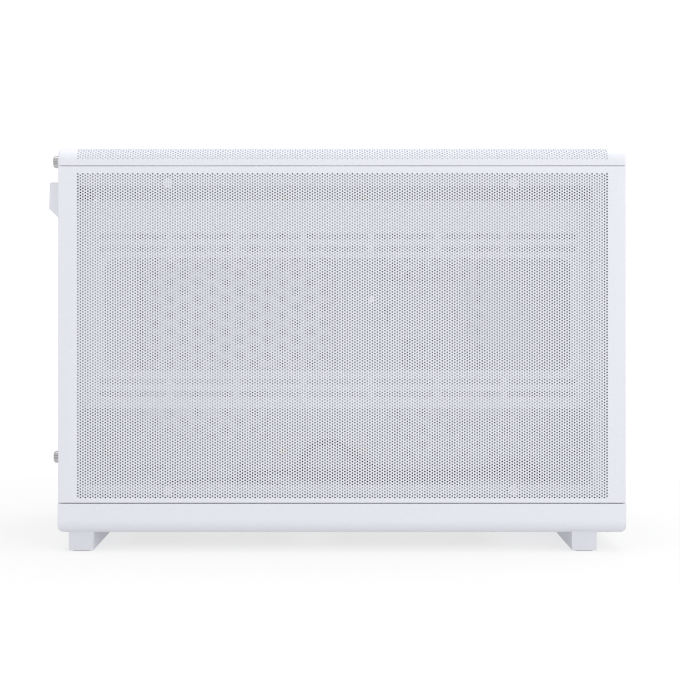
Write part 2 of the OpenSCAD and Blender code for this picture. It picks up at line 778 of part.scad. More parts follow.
base_shroud();
foot_rear();
foot_front();
foot_pads();
chassis_floor();
bottom_filter_frame();
bottom_filter_mesh();
rear_panel();
top_frame();
front_frame();
motherboard_tray();
standoffs();
slot_cover_1();
slot_cover_2();
slot_cover_3();
slot_cover_4();
slot_screws();
slot_bar();
slot_bar_thumbscrew();
side_fan_bracket();
bracket_screws();
psu_bracket();
psu_bracket_screws();
drive_plate();
drive_plate_screws();
exhaust_grille();
inlet_hood();
inlet_socket();
inlet_pins();
left_side_panel();
right_side_panel();
left_panel_studs();
right_panel_studs();
rail_sockets();
top_cover();
top_thumbscrew_left();
top_thumbscrew_right();
front_panel();
front_panel_studs();
front_sockets();
io_board();
usb_a_ports();
usb_c_port();
audio_jack();
switch_body();
power_button();
power_light();
cable_grommet();
usb_cable();
usb_connector();
type_c_cable();
type_c_connector();
audio_cable();
audio_connector();
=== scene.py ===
"""Compact white computer tower: perforated covers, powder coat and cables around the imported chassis."""
import json
import math

import bpy
import bmesh
import numpy as np
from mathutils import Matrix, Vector


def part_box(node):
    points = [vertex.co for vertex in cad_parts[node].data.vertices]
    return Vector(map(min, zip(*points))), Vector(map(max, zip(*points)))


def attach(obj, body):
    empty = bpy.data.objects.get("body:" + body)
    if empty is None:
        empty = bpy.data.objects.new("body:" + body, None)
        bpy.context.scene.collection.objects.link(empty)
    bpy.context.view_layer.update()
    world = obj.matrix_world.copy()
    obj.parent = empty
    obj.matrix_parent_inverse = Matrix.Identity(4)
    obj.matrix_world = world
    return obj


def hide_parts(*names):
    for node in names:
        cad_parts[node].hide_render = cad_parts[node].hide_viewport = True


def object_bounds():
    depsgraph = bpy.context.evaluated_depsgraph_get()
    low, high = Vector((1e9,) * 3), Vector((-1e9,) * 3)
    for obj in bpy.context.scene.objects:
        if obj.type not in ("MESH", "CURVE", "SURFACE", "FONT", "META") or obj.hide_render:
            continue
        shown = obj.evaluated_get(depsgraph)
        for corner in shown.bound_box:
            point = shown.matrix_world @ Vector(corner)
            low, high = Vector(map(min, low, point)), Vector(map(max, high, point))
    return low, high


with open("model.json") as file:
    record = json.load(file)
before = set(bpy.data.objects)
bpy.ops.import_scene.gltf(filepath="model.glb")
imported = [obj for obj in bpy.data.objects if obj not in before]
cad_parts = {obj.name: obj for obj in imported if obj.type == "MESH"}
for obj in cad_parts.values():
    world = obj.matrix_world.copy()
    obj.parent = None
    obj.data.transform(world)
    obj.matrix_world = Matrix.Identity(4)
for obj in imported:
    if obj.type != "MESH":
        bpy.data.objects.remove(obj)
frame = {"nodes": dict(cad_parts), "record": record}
cad_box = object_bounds()
MM = 0.001

# ---------------------------------------------------------------- camera

EYE_HEIGHT = 0.2099
EYE_X = 0.002
EYE_DISTANCE = 1.087
near_face = cad_box[0][1]

scene = bpy.context.scene
camera = bpy.data.objects.new("camera", bpy.data.cameras.new("camera"))
scene.collection.objects.link(camera)
camera.location = (EYE_X, near_face - EYE_DISTANCE, EYE_HEIGHT)
camera.rotation_euler = (math.radians(90), 0, 0)
camera.data.sensor_width = 36
camera.data.lens = 73.9
camera.data.shift_x = 0.0029
camera.data.shift_y = -0.0838
camera.data.clip_start = 0.01
camera.data.clip_end = 50
scene.camera = camera

# ---------------------------------------------------------------- materials

CLOUD = 14.0
GRAIN_DEPTH = 0.3 * MM


def noise(tree, scale, detail=2.0, rough=0.5):
    place = tree.nodes.new("ShaderNodeTexCoord")
    node = tree.nodes.new("ShaderNodeTexNoise")
    node.inputs["Scale"].default_value = scale
    node.inputs["Detail"].default_value = detail
    node.inputs["Roughness"].default_value = rough
    tree.links.new(place.outputs["Object"], node.inputs["Vector"])
    return node.outputs["Fac"]


def ramp(tree, source, low, high, from_pos=0.3, to_pos=0.7):
    node = tree.nodes.new("ShaderNodeValToRGB")
    node.color_ramp.elements[0].position = from_pos
    node.color_ramp.elements[0].color = (*low, 1)
    node.color_ramp.elements[1].position = to_pos
    node.color_ramp.elements[1].color = (*high, 1)
    tree.links.new(source, node.inputs["Fac"])
    return node.outputs["Color"]


def spread(tree, source, low, high):
    node = tree.nodes.new("ShaderNodeMapRange")
    node.inputs["To Min"].default_value = low
    node.inputs["To Max"].default_value = high
    tree.links.new(source, node.inputs["Value"])
    return node.outputs["Result"]


def finish_of(name, colour, shade, rough, metallic=0.0, grain=900.0, bump=0.02, specular=0.5):
    """A procedural finish: colour drifts slowly, roughness and a fine grain come from noise."""
    mat = bpy.data.materials.new(name)
    mat.use_nodes = True
    tree = mat.node_tree
    shader = tree.nodes["Principled BSDF"]
    low = tuple(c * (1 - shade) for c in colour)
    slow = noise(tree, CLOUD, 3.0)
    tree.links.new(ramp(tree, slow, low, colour), shader.inputs["Base Color"])
    fine = noise(tree, grain, 2.0, 0.6)
    tree.links.new(spread(tree, fine, rough - 0.05, rough + 0.05), shader.inputs["Roughness"])
    if bump:
        node = tree.nodes.new("ShaderNodeBump")
        node.inputs["Strength"].default_value = bump
        node.inputs["Distance"].default_value = GRAIN_DEPTH
        tree.links.new(fine, node.inputs["Height"])
        tree.links.new(node.outputs["Normal"], shader.inputs["Normal"])
    shader.inputs["Metallic"].default_value = metallic
    shader.inputs["Specular IOR Level"].default_value = specular
    return mat


WHITE = (0.765, 0.775, 0.835)
coat_white = finish_of("powder_coat", WHITE, 0.008, 0.48, grain=1600, bump=0.015, specular=0.4)
# The chassis inside is the same white coat as the covers, made darker as painted shade for the inside of
# the case.
INNER_PAINTED_SHADE = (0.47, 0.477, 0.515)
chassis_painted_shade = finish_of("chassis_coat_painted_shade", INNER_PAINTED_SHADE, 0.02, 0.5, grain=1500, bump=0.02, specular=0.4)
plastic_white = finish_of("white_plastic", (0.79, 0.79, 0.82), 0.02, 0.38, grain=700, bump=0.03)
pad_rubber = finish_of("pad_rubber", (0.5, 0.5, 0.52), 0.08, 0.8, grain=500, bump=0.2)
brass = finish_of("brass", (0.78, 0.6, 0.28), 0.08, 0.3, metallic=1.0, grain=800, bump=0.03)
zinc = finish_of("zinc", (0.72, 0.73, 0.75), 0.06, 0.3, metallic=1.0, grain=900, bump=0.03)
dark_chrome = finish_of("dark_chrome", (0.58, 0.58, 0.6), 0.08, 0.28, metallic=1.0, grain=900, bump=0.03)
nickel = finish_of("nickel", (0.77, 0.77, 0.78), 0.04, 0.22, metallic=1.0, grain=700, bump=0.02)
black_plastic = finish_of("black_plastic", (0.03, 0.03, 0.032), 0.15, 0.45, grain=700, bump=0.08)
board_green = finish_of("board_resin", (0.02, 0.09, 0.05), 0.2, 0.35, grain=300, bump=0.05)
clear_lens = finish_of("light_lens", (0.85, 0.9, 0.95), 0.03, 0.3, grain=500, bump=0.02)
cable_black = finish_of("cable_jacket", (0.028, 0.028, 0.03), 0.2, 0.5, grain=900, bump=0.1)
filter_white = finish_of("filter_plastic", (0.72, 0.72, 0.75), 0.03, 0.55, grain=700, bump=0.05)

BY_SLOT = {
    "white_coat": chassis_painted_shade,
    "pad_rubber": pad_rubber,
    "standoff_brass": brass,
    "screw_steel": zinc,
    "dark_chrome": dark_chrome,
    "black_plastic": black_plastic,
    "contact_metal": nickel,
    "white_plastic": plastic_white,
    "filter_plastic": filter_white,
    "board_resin": board_green,
    "clear_plastic": clear_lens,
    "cable_black": cable_black,
}
# The inlet hood is the coat white made lighter, as painted light on its faces.
HOOD_PAINTED_LIGHT = (0.86, 0.868, 0.92)
# The feet are the coat white made darker, as painted shade for their faces that turn toward the floor.
FOOT_PAINTED_SHADE = (0.69, 0.7, 0.755)
CLOTH_WHITE = (0.86, 0.867, 0.91)
# The side fan bracket is the same white coat, made darker as painted shade for where it sits inside the
# case.
BRACKET_PAINTED_SHADE = (0.56, 0.567, 0.61)
hood_painted_light = finish_of("hood_coat_painted_light", HOOD_PAINTED_LIGHT, 0.01, 0.45, grain=1600, bump=0.015, specular=0.4)
cloth_white = finish_of("dust_cloth", CLOTH_WHITE, 0.01, 0.8, grain=3000, bump=0.03, specular=0.2)
foot_painted_shade = finish_of("foot_plastic_painted_shade", FOOT_PAINTED_SHADE, 0.02, 0.45, grain=700, bump=0.04)
bracket_painted_shade = finish_of("bracket_coat_painted_shade", BRACKET_PAINTED_SHADE, 0.015, 0.5, grain=1500, bump=0.05, specular=0.4)
OUTER_NODES = {
    "base_shroud": coat_white, "inlet_hood": hood_painted_light, "slot_bar": coat_white, "rear_panel": coat_white,
    "foot_rear": foot_painted_shade, "foot_front": foot_painted_shade, "side_fan_bracket": bracket_painted_shade,
}

slot_of = {part["node"]: part["material_slot"] for part in frame["record"]["subparts"]}
for name, obj in frame["nodes"].items():
    mat = OUTER_NODES.get(name, BY_SLOT[slot_of[name]])
    obj.data.materials.clear()
    obj.data.materials.append(mat)

# ---------------------------------------------------------------- mesh helpers


def piece(name, verts, faces, mat, body, smooth=None):
    """A mesh piece in the shared frame, in metres, riding on a body."""
    mesh = bpy.data.meshes.new(name)
    mesh.from_pydata([tuple(v) for v in verts], [], faces)
    mesh.materials.append(mat)
    if smooth is not None:
        mesh.shade_smooth()
        mesh.set_sharp_from_angle(angle=math.radians(smooth))
    obj = bpy.data.objects.new(name, mesh)
    scene.collection.objects.link(obj)
    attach(obj, body)
    return obj


def array_mesh(name, verts, faces, mat, body):
    """A mesh from numpy arrays: faces is a list of (n, k) index arrays."""
    mesh = bpy.data.meshes.new(name)
    mesh.vertices.add(len(verts))
    mesh.vertices.foreach_set("co", np.ascontiguousarray(verts, np.float32).ravel())
    corners = np.concatenate([f.ravel() for f in faces]).astype(np.int32)
    sizes = np.concatenate([np.full(len(f), f.shape[1], np.int32) for f in faces])
    starts = np.concatenate([[0], np.cumsum(sizes)[:-1]]).astype(np.int32)
    mesh.loops.add(len(corners))
    mesh.loops.foreach_set("vertex_index", corners)
    mesh.polygons.add(len(sizes))
    mesh.polygons.foreach_set("loop_start", starts)
    mesh.update(calc_edges=True)
    mesh.validate()
    mesh.materials.append(mat)
    obj = bpy.data.objects.new(name, mesh)
    scene.collection.objects.link(obj)
    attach(obj, body)
    return obj


def loops_mesh(loops, closed=True):
    """Verts and quads that join equal loops of points in order; closed joins the last to the first."""
    n = len(loops[0])
    verts = [p for loop in loops for p in loop]
    faces = []
    count = len(loops) if closed else len(loops) - 1
    for a in range(count):
        b = (a + 1) % len(loops)
        for k in range(n):
            m = (k + 1) % n
            faces.append((a * n + k, a * n + m, b * n + m, b * n + k))
    return verts, faces


def slab(lo, hi):
    """Verts and faces of a closed block, for strips that are joined into a bigger piece."""
    x, y, z = zip(lo, hi)
    verts = [(x[i], y[j], z[k]) for i in (0, 1) for j in (0, 1) for k in (0, 1)]
    faces = [(0, 1, 3, 2), (4, 6, 7, 5), (0, 4, 5, 1), (2, 3, 7, 6), (0, 2, 6, 4), (1, 5, 7, 3)]
    return verts, faces


def joined(*parts):
    verts, faces = [], []
    for v, f in parts:
        base = len(verts)
        verts += list(v)
        faces += [tuple(i + base for i in face) for face in f]
    return verts, faces


# ---------------------------------------------------------------- perforation

COLUMN = 1.944 * MM
PITCH = 2.24 * MM
HOLE = 0.70 * MM
COLUMNS = 213
ROWS = 113
MARGIN = 0.35 * MM


def field(columns, rows, u0, v0, surface, thickness, splits):
    """A sheet of hexagonal holes on a triangular lattice, one array mesh per split.

    surface(u, v, depth) gives points in the frame; the lattice starts at (u0, v0) and alternate
    columns are half a pitch higher. Returns the meshes and the field's rectangle in (u, v).
    """
    i, j = np.meshgrid(np.arange(columns), np.arange(rows), indexing="ij")
    cu = u0 + i * COLUMN
    cv = v0 + (j + 0.5 * (i % 2)) * PITCH
    turn = np.radians(60 * np.arange(6))
    u = cu[..., None] + HOLE * np.cos(turn)
    v = cv[..., None] + HOLE * np.sin(turn)
    index = np.arange(columns * rows * 6).reshape(columns, rows, 6)
    left, right = u.min() - MARGIN, u.max() + MARGIN
    low, high = v.min() - MARGIN, v.max() + MARGIN

    # the rim: every outermost corner gets a partner straight out on the field's rectangle
    last, top = columns - 1, rows - 1
    west = [(0, r, k) for r in range(rows) for k in (4, 3, 2)]
    east = [(last, r, k) for r in range(rows) for k in (5, 0, 1)]
    north, south = [], []
    for c in range(columns):
        north += [(c, top, k) for k in ((2, 1) if c % 2 == 0 else (3, 2, 1, 0))]
        south += [(c, 0, k) for k in ((3, 4, 5, 0) if c % 2 == 0 else (4, 5))]
    south = south[1:-1]
    sides = []
    extra_u, extra_v = [], []
    base = index.size

    def partner(uu, vv):
        extra_u.append(uu)
        extra_v.append(vv)
        return base + len(extra_u) - 1

    corner = {(a, b): partner(a, b) for a in (left, right) for b in (low, high)}
    sides_of = ((west, "u", left), (east, "u", right), (south, "v", low), (north, "v", high))
    for side, fixed, edge_at in sides_of:
        before = None
        for c, r, k in side:
            pu, pv = u[c, r, k], v[c, r, k]
            out = partner(edge_at, pv) if fixed == "u" else partner(pu, edge_at)
            if before is not None:
                sides.append((c, before[0], before[1], out, index[c, r, k], side in (west, north)))
            before = (index[c, r, k], out)
    rim = [[], []]
    for c, a, a_out, b_out, b, turned in sides:
        rim[0].append(c)
        rim[1].append((a, b, b_out, a_out) if turned else (a, a_out, b_out, b))
    # the four corners of the rectangle
    corners = (
        (0, 0, 4, left, low), (last, 0, 5, right, low),
        (0, top, 2, left, high), (last, top, 1, right, high),
    )
    for c, r, k, a, b in corners:
        pu, pv = u[c, r, k], v[c, r, k]
        along_u = partner(pu, b)
        along_v = partner(a, pv)
        quad = (index[c, r, k], along_v, corner[(a, b)], along_u)
        if (a == left) != (b == low):
            quad = quad[::-1]
        rim[0].append(c)
        rim[1].append(quad)

    flat_u = np.concatenate([u.ravel(), extra_u])
    flat_v = np.concatenate([v.ravel(), extra_v])
    front = surface(flat_u, flat_v, 0.0)
    back = surface(flat_u, flat_v, thickness)
    count = len(flat_u)

    quads, tris, owners_q, owners_t = [], [], [], []
    even = np.arange(0, columns, 2)
    odd = np.arange(1, columns, 2)

    def link(cols, step_c, step_r, mine, theirs):
        """Quads between each hole's edge and its neighbour's facing edge."""
        cols = cols[cols + step_c < columns]
        rr = np.arange(rows)
        rr = rr[(rr + step_r >= 0) & (rr + step_r < rows)]
        cc, rr = (g.ravel() for g in np.meshgrid(cols, rr, indexing="ij"))
        a = index[cc, rr]
        b = index[cc + step_c, rr + step_r]
        quads.append(np.stack([a[:, mine[0]], b[:, theirs[0]], b[:, theirs[1]], a[:, mine[1]]], 1))
        owners_q.append(cc)

    def corner_tri(cols, one, two, ks):
        """Triangles in the middle of three neighbouring holes."""
        cols = cols[cols + max(one[0], two[0]) < columns]
        rr = np.arange(rows)
        ok = np.ones(rows, bool)
        for step in (one[1], two[1]):
            ok &= (rr + step >= 0) & (rr + step < rows)
        cc, rr = (g.ravel() for g in np.meshgrid(cols, rr[ok], indexing="ij"))
        a, b, c = index[cc, rr], index[cc + one[0], rr + one[1]], index[cc + two[0], rr + two[1]]
        tris.append(np.stack([a[:, ks[0]], b[:, ks[1]], c[:, ks[2]]], 1))
        owners_t.append(cc)

    every = np.arange(columns)
    link(every, 0, 1, (1, 2), (5, 4))
    link(even, 1, 0, (0, 1), (4, 3))
    link(odd, 1, 1, (0, 1), (4, 3))
    link(even, 1, -1, (5, 0), (3, 2))
    link(odd, 1, 0, (5, 0), (3, 2))
    corner_tri(even, (1, 0), (0, 1), (1, 3, 5))
    corner_tri(odd, (1, 1), (0, 1), (1, 3, 5))
    corner_tri(even, (1, -1), (1, 0), (0, 2, 4))
    corner_tri(odd, (1, 0), (1, 1), (0, 2, 4))
    quads.append(np.array(rim[1]))
    owners_q.append(np.array(rim[0]))
    quads, tris = np.concatenate(quads), np.concatenate(tris)
    owners_q, owners_t = np.concatenate(owners_q), np.concatenate(owners_t)
    a = index.reshape(-1, 6)
    nxt = np.roll(a, -1, 1)
    walls = np.stack([a, a + count, nxt + count, nxt], 2).reshape(-1, 4)
    owners_w = np.repeat(i.ravel(), 6)

    points = np.concatenate([front, back])
    meshes = []
    cuts = np.linspace(0, columns, splits + 1).astype(int)
    for lo, hi in zip(cuts[:-1], cuts[1:]):
        q = quads[(owners_q >= lo) & (owners_q < hi)]
        t = tris[(owners_t >= lo) & (owners_t < hi)]
        w = walls[(owners_w >= lo) & (owners_w < hi)]
        groups = [q, q[:, ::-1] + count, t, t[:, ::-1] + count, w]
        used, flat = np.unique(np.concatenate([g.ravel() for g in groups]), return_inverse=True)
        local, at = [], 0
        for g in groups:
            local.append(flat[at:at + g.size].reshape(g.shape))
            at += g.size
        meshes.append((points[used], local))
    return meshes, (left, right, low, high)


def perforated(name, body, meshes, flip=False):
    """The pieces of a field, all in the outer coat."""
    made = []
    for n, (verts, faces) in enumerate(meshes):
        if flip:
            faces = [f[:, ::-1] for f in faces]
        made.append(array_mesh(f"{name}_mesh_{n + 1}", verts, faces, coat_white, body))
    return made


def rect_loop(to_point, x0, x1, z0, z1, depth):
    return [to_point(x, z, depth) for x, z in ((x0, z0), (x1, z0), (x1, z1), (x0, z1))]


ROUNDING = [(1 - math.sin(a), 1 - math.cos(a)) for a in np.radians([0, 15, 35, 55, 75, 90])]


def sheet_frame(to_point, outer, inner, thickness, edge, skirt):
    """A sheet around a rectangular field, its outer edge rounded and turned in as deep as skirt."""
    x0, x1, z0, z1 = outer
    loops = [rect_loop(to_point, *inner, 0.0)]
    for inset, depth in ROUNDING:
        i = edge * inset
        loops.append(rect_loop(to_point, x0 + i, x1 - i, z0 + i, z1 - i, edge * depth))
    loops.append(rect_loop(to_point, x0, x1, z0, z1, skirt))
    if skirt > thickness:
        t = thickness
        loops.append(rect_loop(to_point, x0 + t, x1 - t, z0 + t, z1 - t, skirt))
        loops.append(rect_loop(to_point, x0 + t, x1 - t, z0 + t, z1 - t, thickness))
    loops.append(rect_loop(to_point, *inner, thickness))
    return loops_mesh(loops)


# ---------------------------------------------------------------- side panels

LATTICE_X = -0.2006
LATTICE_TOP = 0.2949
SHEET = 0.8 * MM
# How far the panel's outer edge is rounded
PANEL_EDGE = 0.6 * MM
# Lips along the panel's long edges, turned in toward the chassis
LIP_REAR = 2.5 * MM
LIP_FRONT = 10.5 * MM
LIP_DEPTH = 4.4 * MM
LIP_T = 0.66 * MM
LIP_GAP = 0.02 * MM
panel_lo, panel_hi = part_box("left_side_panel")


def side_panel(name, body, node, sign):
    """A flat perforated sheet; sign is -1 on the left, +1 on the right."""
    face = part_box(node)[0 if sign < 0 else 1][1]

    def surface(u, v, depth):
        return np.stack([u, np.full_like(u, face + sign * -depth), LATTICE_TOP - v], 1)

    meshes, (u0, u1, v0, v1) = field(COLUMNS, ROWS, LATTICE_X, 0.0, surface, SHEET, 4)
    inner = (u0, u1, LATTICE_TOP - v1, LATTICE_TOP - v0)
    chunks = perforated(name, body, meshes, flip=sign < 0)
    outer = (panel_lo[0], panel_hi[0], panel_lo[2], panel_hi[2])
    frame_part = sheet_frame(
        lambda x, z, d: (x, face - sign * d, z), outer, inner, SHEET, PANEL_EDGE, SHEET
    )
    strips = []
    x0, x1 = panel_lo[0] + LIP_REAR, panel_hi[0] - LIP_FRONT
    y0, y1 = sorted((face - sign * SHEET, face - sign * LIP_DEPTH))
    for z0 in (panel_lo[2], panel_hi[2] - LIP_T - 2 * LIP_GAP):
        strips.append(slab((x0, y0, z0 + LIP_GAP), (x1, y1, z0 + LIP_GAP + LIP_T)))
    verts, faces = joined(frame_part, *strips)
    if sign > 0:
        faces = [f[::-1] for f in faces]
    border = piece(f"{name}_border", verts, faces, coat_white, body, smooth=40)
    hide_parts(node)
    for chunk in chunks:
        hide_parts(node)


side_panel("left_panel", "left_panel", "left_side_panel", -1)
side_panel("right_panel", "right_panel", "right_side_panel", 1)

# ---------------------------------------------------------------- top cover

cover_lo, cover_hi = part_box("top_cover")
EDGE = 10 * MM
END_R = 2.0 * MM
COVER_T = 1.2 * MM
half = (cover_hi[1] - cover_lo[1]) / 2
rise = cover_hi[2] - cover_lo[2] - EDGE
arc = EDGE * math.pi / 2
flat_w = 2 * (half - EDGE)
girth = 2 * rise + 2 * arc + flat_w


def cover_point(s, inset):
    """(y, z) at arc length s along the cover's section, from its left rim to its right rim."""
    r = EDGE - inset
    if s <= rise:
        return -half + inset, cover_lo[2] + s
    if s <= rise + arc:
        a = (s - rise) / EDGE
        return -half + EDGE - r * math.cos(a), cover_hi[2] - EDGE + r * math.sin(a)
    if s <= rise + arc + flat_w:
        return -half + EDGE + (s - rise - arc), cover_hi[2] - inset
    y, z = cover_point(girth - s, inset)
    return -y, z


def cover_surface(u, v, depth):
    yz = np.array([cover_point(s, depth) for s in v])
    return np.stack([u, yz[:, 0], yz[:, 1]], 1)


TOP_ROWS = 90
TOP_START = 5.55 * MM
TOP_SHEET = 0.6 * MM
CLOTH = (0.64 * MM, 0.9 * MM)
meshes, (tu0, tu1, tv0, tv1) = field(
    COLUMNS, TOP_ROWS, LATTICE_X, TOP_START, cover_surface, TOP_SHEET, 4
)
for chunk in perforated("top_cover", "cover", meshes, flip=False):
    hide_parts("top_cover")


BEND_STEPS = 14


def section(inset, first=0.0, last=girth):
    """The cover's section as points, from arc length first to last."""
    bend = [arc * k / BEND_STEPS for k in range(BEND_STEPS + 1)]
    stops = [rise, rise + arc, rise + arc + flat_w, girth - rise]
    stops += [rise + b for b in bend] + [girth - rise - b for b in bend]
    marks = sorted({first, last, *[s for s in stops if first < s < last]})
    return [cover_point(m, inset) for m in marks]


# The fine dust cloth bonded under the perforation
skins = [[(x, y, z) for y, z in section(inset, tv0, tv1)] for x in (tu0, tu1) for inset in CLOTH]
n = len(skins[0])
verts = [p for skin in skins for p in skin]
faces = []
for a, b in ((0, 2), (3, 1), (1, 0), (2, 3)):
    faces += [(a * n + k, b * n + k, b * n + k + 1, a * n + k + 1) for k in range(n - 1)]
faces += [(0, n, 3 * n, 2 * n), (n - 1, 3 * n - 1, 4 * n - 1, 2 * n - 1)]
cloth = piece("top_cover_cloth", verts, faces, cloth_white, "cover", smooth=50)
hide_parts("top_cover")


def strip(stations, first=0.0, last=girth):
    """A skin of the cover's section through stations (x, inset), closed by its inner side."""
    outer = [[(x, y, z) for y, z in section(i, first, last)] for x, i in stations]
    inner = [[(x + push, y, z) for y, z in section(max(i, 0) + COVER_T, first, last)]
             for (x, i), push in zip(stations, pushes(stations))]
    n = len(outer[0])
    rows = outer + inner[::-1]
    verts = [p for row in rows for p in row]
    faces = []
    for a in range(len(rows)):
        b = (a + 1) % len(rows)
        for k in range(n - 1):
            faces.append((a * n + k, b * n + k, b * n + k + 1, a * n + k + 1))
    for k in (0, n - 1):
        loop = [a * n + k for a in range(len(rows))]
        faces.append(tuple(loop if k == 0 else loop[::-1]))
    return verts, faces


def pushes(stations):
    """How far the inner side steps in from each station's end face."""
    middle = (stations[0][0] + stations[-1][0]) / 2
    toward = 1 if stations[-1][0] < middle else -1
    return [toward * COVER_T * i / END_R for _, i in stations]


def end_stations(x_end, x_field, direction):
    """Stations from the field's edge out to an end, rounded over by END_R."""
    result = [(x_field, 0.0)]
    for inset, depth in [(math.sin(a), math.cos(a)) for a in np.radians([0, 15, 30, 45, 60, 75, 90])]:
        result.append((x_end - direction * END_R * (1 - inset), END_R * (1 - depth)))
    return result


parts = []
for x_end, x_field, direction in ((cover_lo[0], tu0, -1), (cover_hi[0], tu1, 1)):
    parts.append(strip(end_stations(x_end, x_field, direction)))
for first, last in ((0.0, tv0), (tv1, girth)):
    parts.append(strip([(tu0, 0.0), (tu1, 0.0)], first, last))

screw_lo, screw_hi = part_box("top_thumbscrew_left")
NOTCH = 2.4 * MM
notch_z = (screw_lo[2] + screw_hi[2]) / 2
notch_y = abs(screw_lo[1] + screw_hi[1]) / 2


def end_wall(x, depth, notched):
    """A flat end of the cover, with a notch up from the rim over each thumbscrew's shank."""
    outline = section(END_R)
    if notched:
        rim = []
        for side in (1, -1):
            y = side * notch_y
            steps = [math.radians(a) for a in range(0, 181, 20)]
            dome = [(y + NOTCH * math.cos(a), notch_z + NOTCH * math.sin(a)) for a in steps]
            rim += [(y + NOTCH, cover_lo[2])] + dome + [(y - NOTCH, cover_lo[2])]
        outline += rim
    n = len(outline)
    verts = [(x, y, z) for y, z in outline] + [(x + depth, y, z) for y, z in outline]
    faces = [tuple(range(n)), tuple(range(2 * n - 1, n - 1, -1))]
    faces += [(k, (k + 1) % n, (k + 1) % n + n, k + n) for k in range(n)]
    return verts, faces


parts.append(end_wall(cover_lo[0], COVER_T, True))
parts.append(end_wall(cover_hi[0], -COVER_T, False))
verts, faces = joined(*parts)
border = piece("top_cover_border", verts, faces, coat_white, "cover")
bm = bmesh.new()
bm.from_mesh(border.data)
bmesh.ops.recalc_face_normals(bm, faces=bm.faces)
bm.to_mesh(border.data)
bm.free()
border.data.shade_smooth()
border.data.set_sharp_from_angle(angle=math.radians(25))
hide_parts("top_cover")

# ---------------------------------------------------------------- front panel

front_lo, front_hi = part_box("front_panel")
FRONT_COLUMNS = 85
front_u0 = -(FRONT_COLUMNS - 1) * COLUMN / 2


def front_surface(u, v, depth):
    return np.stack([np.full_like(u, front_hi[0] - depth), u, LATTICE_TOP - v], 1)


meshes, (u0, u1, v0, v1) = field(FRONT_COLUMNS, ROWS, front_u0, 0.0, front_surface, SHEET, 2)
inner = (u0, u1, LATTICE_TOP - v1, LATTICE_TOP - v0)
for chunk in perforated("front_panel", "front", meshes, flip=True):
    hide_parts("front_panel")
outer = (front_lo[1], front_hi[1], front_lo[2], front_hi[2])
verts, faces = sheet_frame(
    lambda y, z, d: (front_hi[0] - d, y, z), outer, inner, SHEET, 1.2 * MM, front_hi[0] - front_lo[0]
)
border = piece("front_panel_border", verts, faces, coat_white, "front", smooth=40)
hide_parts("front_panel")

# ---------------------------------------------------------------- cables

USB_ROUTE = [
    (196, -20, 26), (186, -16, 26), (177, -2, 26.5), (172, 16, 27), (172, 31, 31), (173, 37, 42),
    (164, 39, 52), (148, 42, 51), (132, 45, 45), (112, 48, 42), (90, 46, 42), (66, 44, 42),
    (42, 46, 42), (18, 50, 42), (-4, 52, 42), (-22, 50, 42), (-34, 43, 42), (-32, 32, 42),
    (-18, 27, 42), (2, 28, 42), (24, 30, 42),
]
TYPE_C_ROUTE = [
    (196, 10, 26), (188, 13, 26), (182, 22, 26.5), (179, 32, 30), (179, 40, 40),
    (173, 48, 49), (160, 54, 50), (144, 57, 44), (124, 60, 41.2), (100, 60, 41.2),
    (76, 58, 41.2), (54, 60, 41.2), (36, 66, 43), (22, 71, 52), (8, 75, 62),
    (-6, 76.5, 67), (-20, 76.5, 63), (-29, 75, 52), (-30, 70, 43), (-24, 62, 41.2),
]
AUDIO_ROUTE = [
    (196, 26, 25.5), (190, 28, 25.5), (184, 34, 26), (181, 41, 30), (180, 46, 40),
    (175, 52, 47.5), (165, 61, 49), (150, 67, 42.5), (132, 70, 40.4), (110, 71, 40.4),
    (90, 69, 40.4), (70, 70, 40.4), (48, 73, 40.4), (26, 75, 40.4), (4, 74, 40.4),
    (-16, 76, 40.4), (-38, 74, 40.4), (-58, 66, 40.4), (-72, 54, 40.4),
]


def smooth_path(route, steps=6):
    """Points along one smooth curve through a route given in millimetres."""
    p = [Vector(q) * MM for q in route]
    out = []
    for i in range(len(p) - 1):
        a, b, c, d = p[max(i - 1, 0)], p[i], p[i + 1], p[min(i + 2, len(p) - 1)]
        for k in range(steps):
            t = k / steps
            out.append(0.5 * (2 * b + (c - a) * t + (2 * a - 5 * b + 4 * c - d) * t * t
                              + (3 * b - a - 3 * c + d) * t * t * t))
    out.append(p[-1])
    return out


def cable(name, node, route, diameter):
    """A round jacketed cable as one mesh tube along the route."""
    path = smooth_path(route)
    sides = 16
    verts, faces = [], []
    for i, p in enumerate(path):
        t = (path[min(i + 1, len(path) - 1)] - path[max(i - 1, 0)]).normalized()
        u = t.cross(Vector((0.1, 0.2, 1))).normalized()
        v = t.cross(u)
        for k in range(sides):
            a = 2 * math.pi * k / sides
            verts.append(p + (u * math.cos(a) + v * math.sin(a)) * diameter / 2)
    for i in range(len(path) - 1):
        for k in range(sides):
            m = (k + 1) % sides
            faces.append((i * sides + k, i * sides + m, (i + 1) * sides + m, (i + 1) * sides + k))
    faces.append(tuple(range(sides))[::-1])
    faces.append(tuple((len(path) - 1) * sides + k for k in range(sides)))
    obj = piece(name, verts, faces, cable_black, "chassis", smooth=50)
    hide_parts(node)
    length = sum((b - a).length for a, b in zip(path, path[1:]))
    return length


KEY_RIB = (0.7, 0.8, 0.7)
CONTACT_W = 0.8 * MM
CONTACT_REACH = 0.6


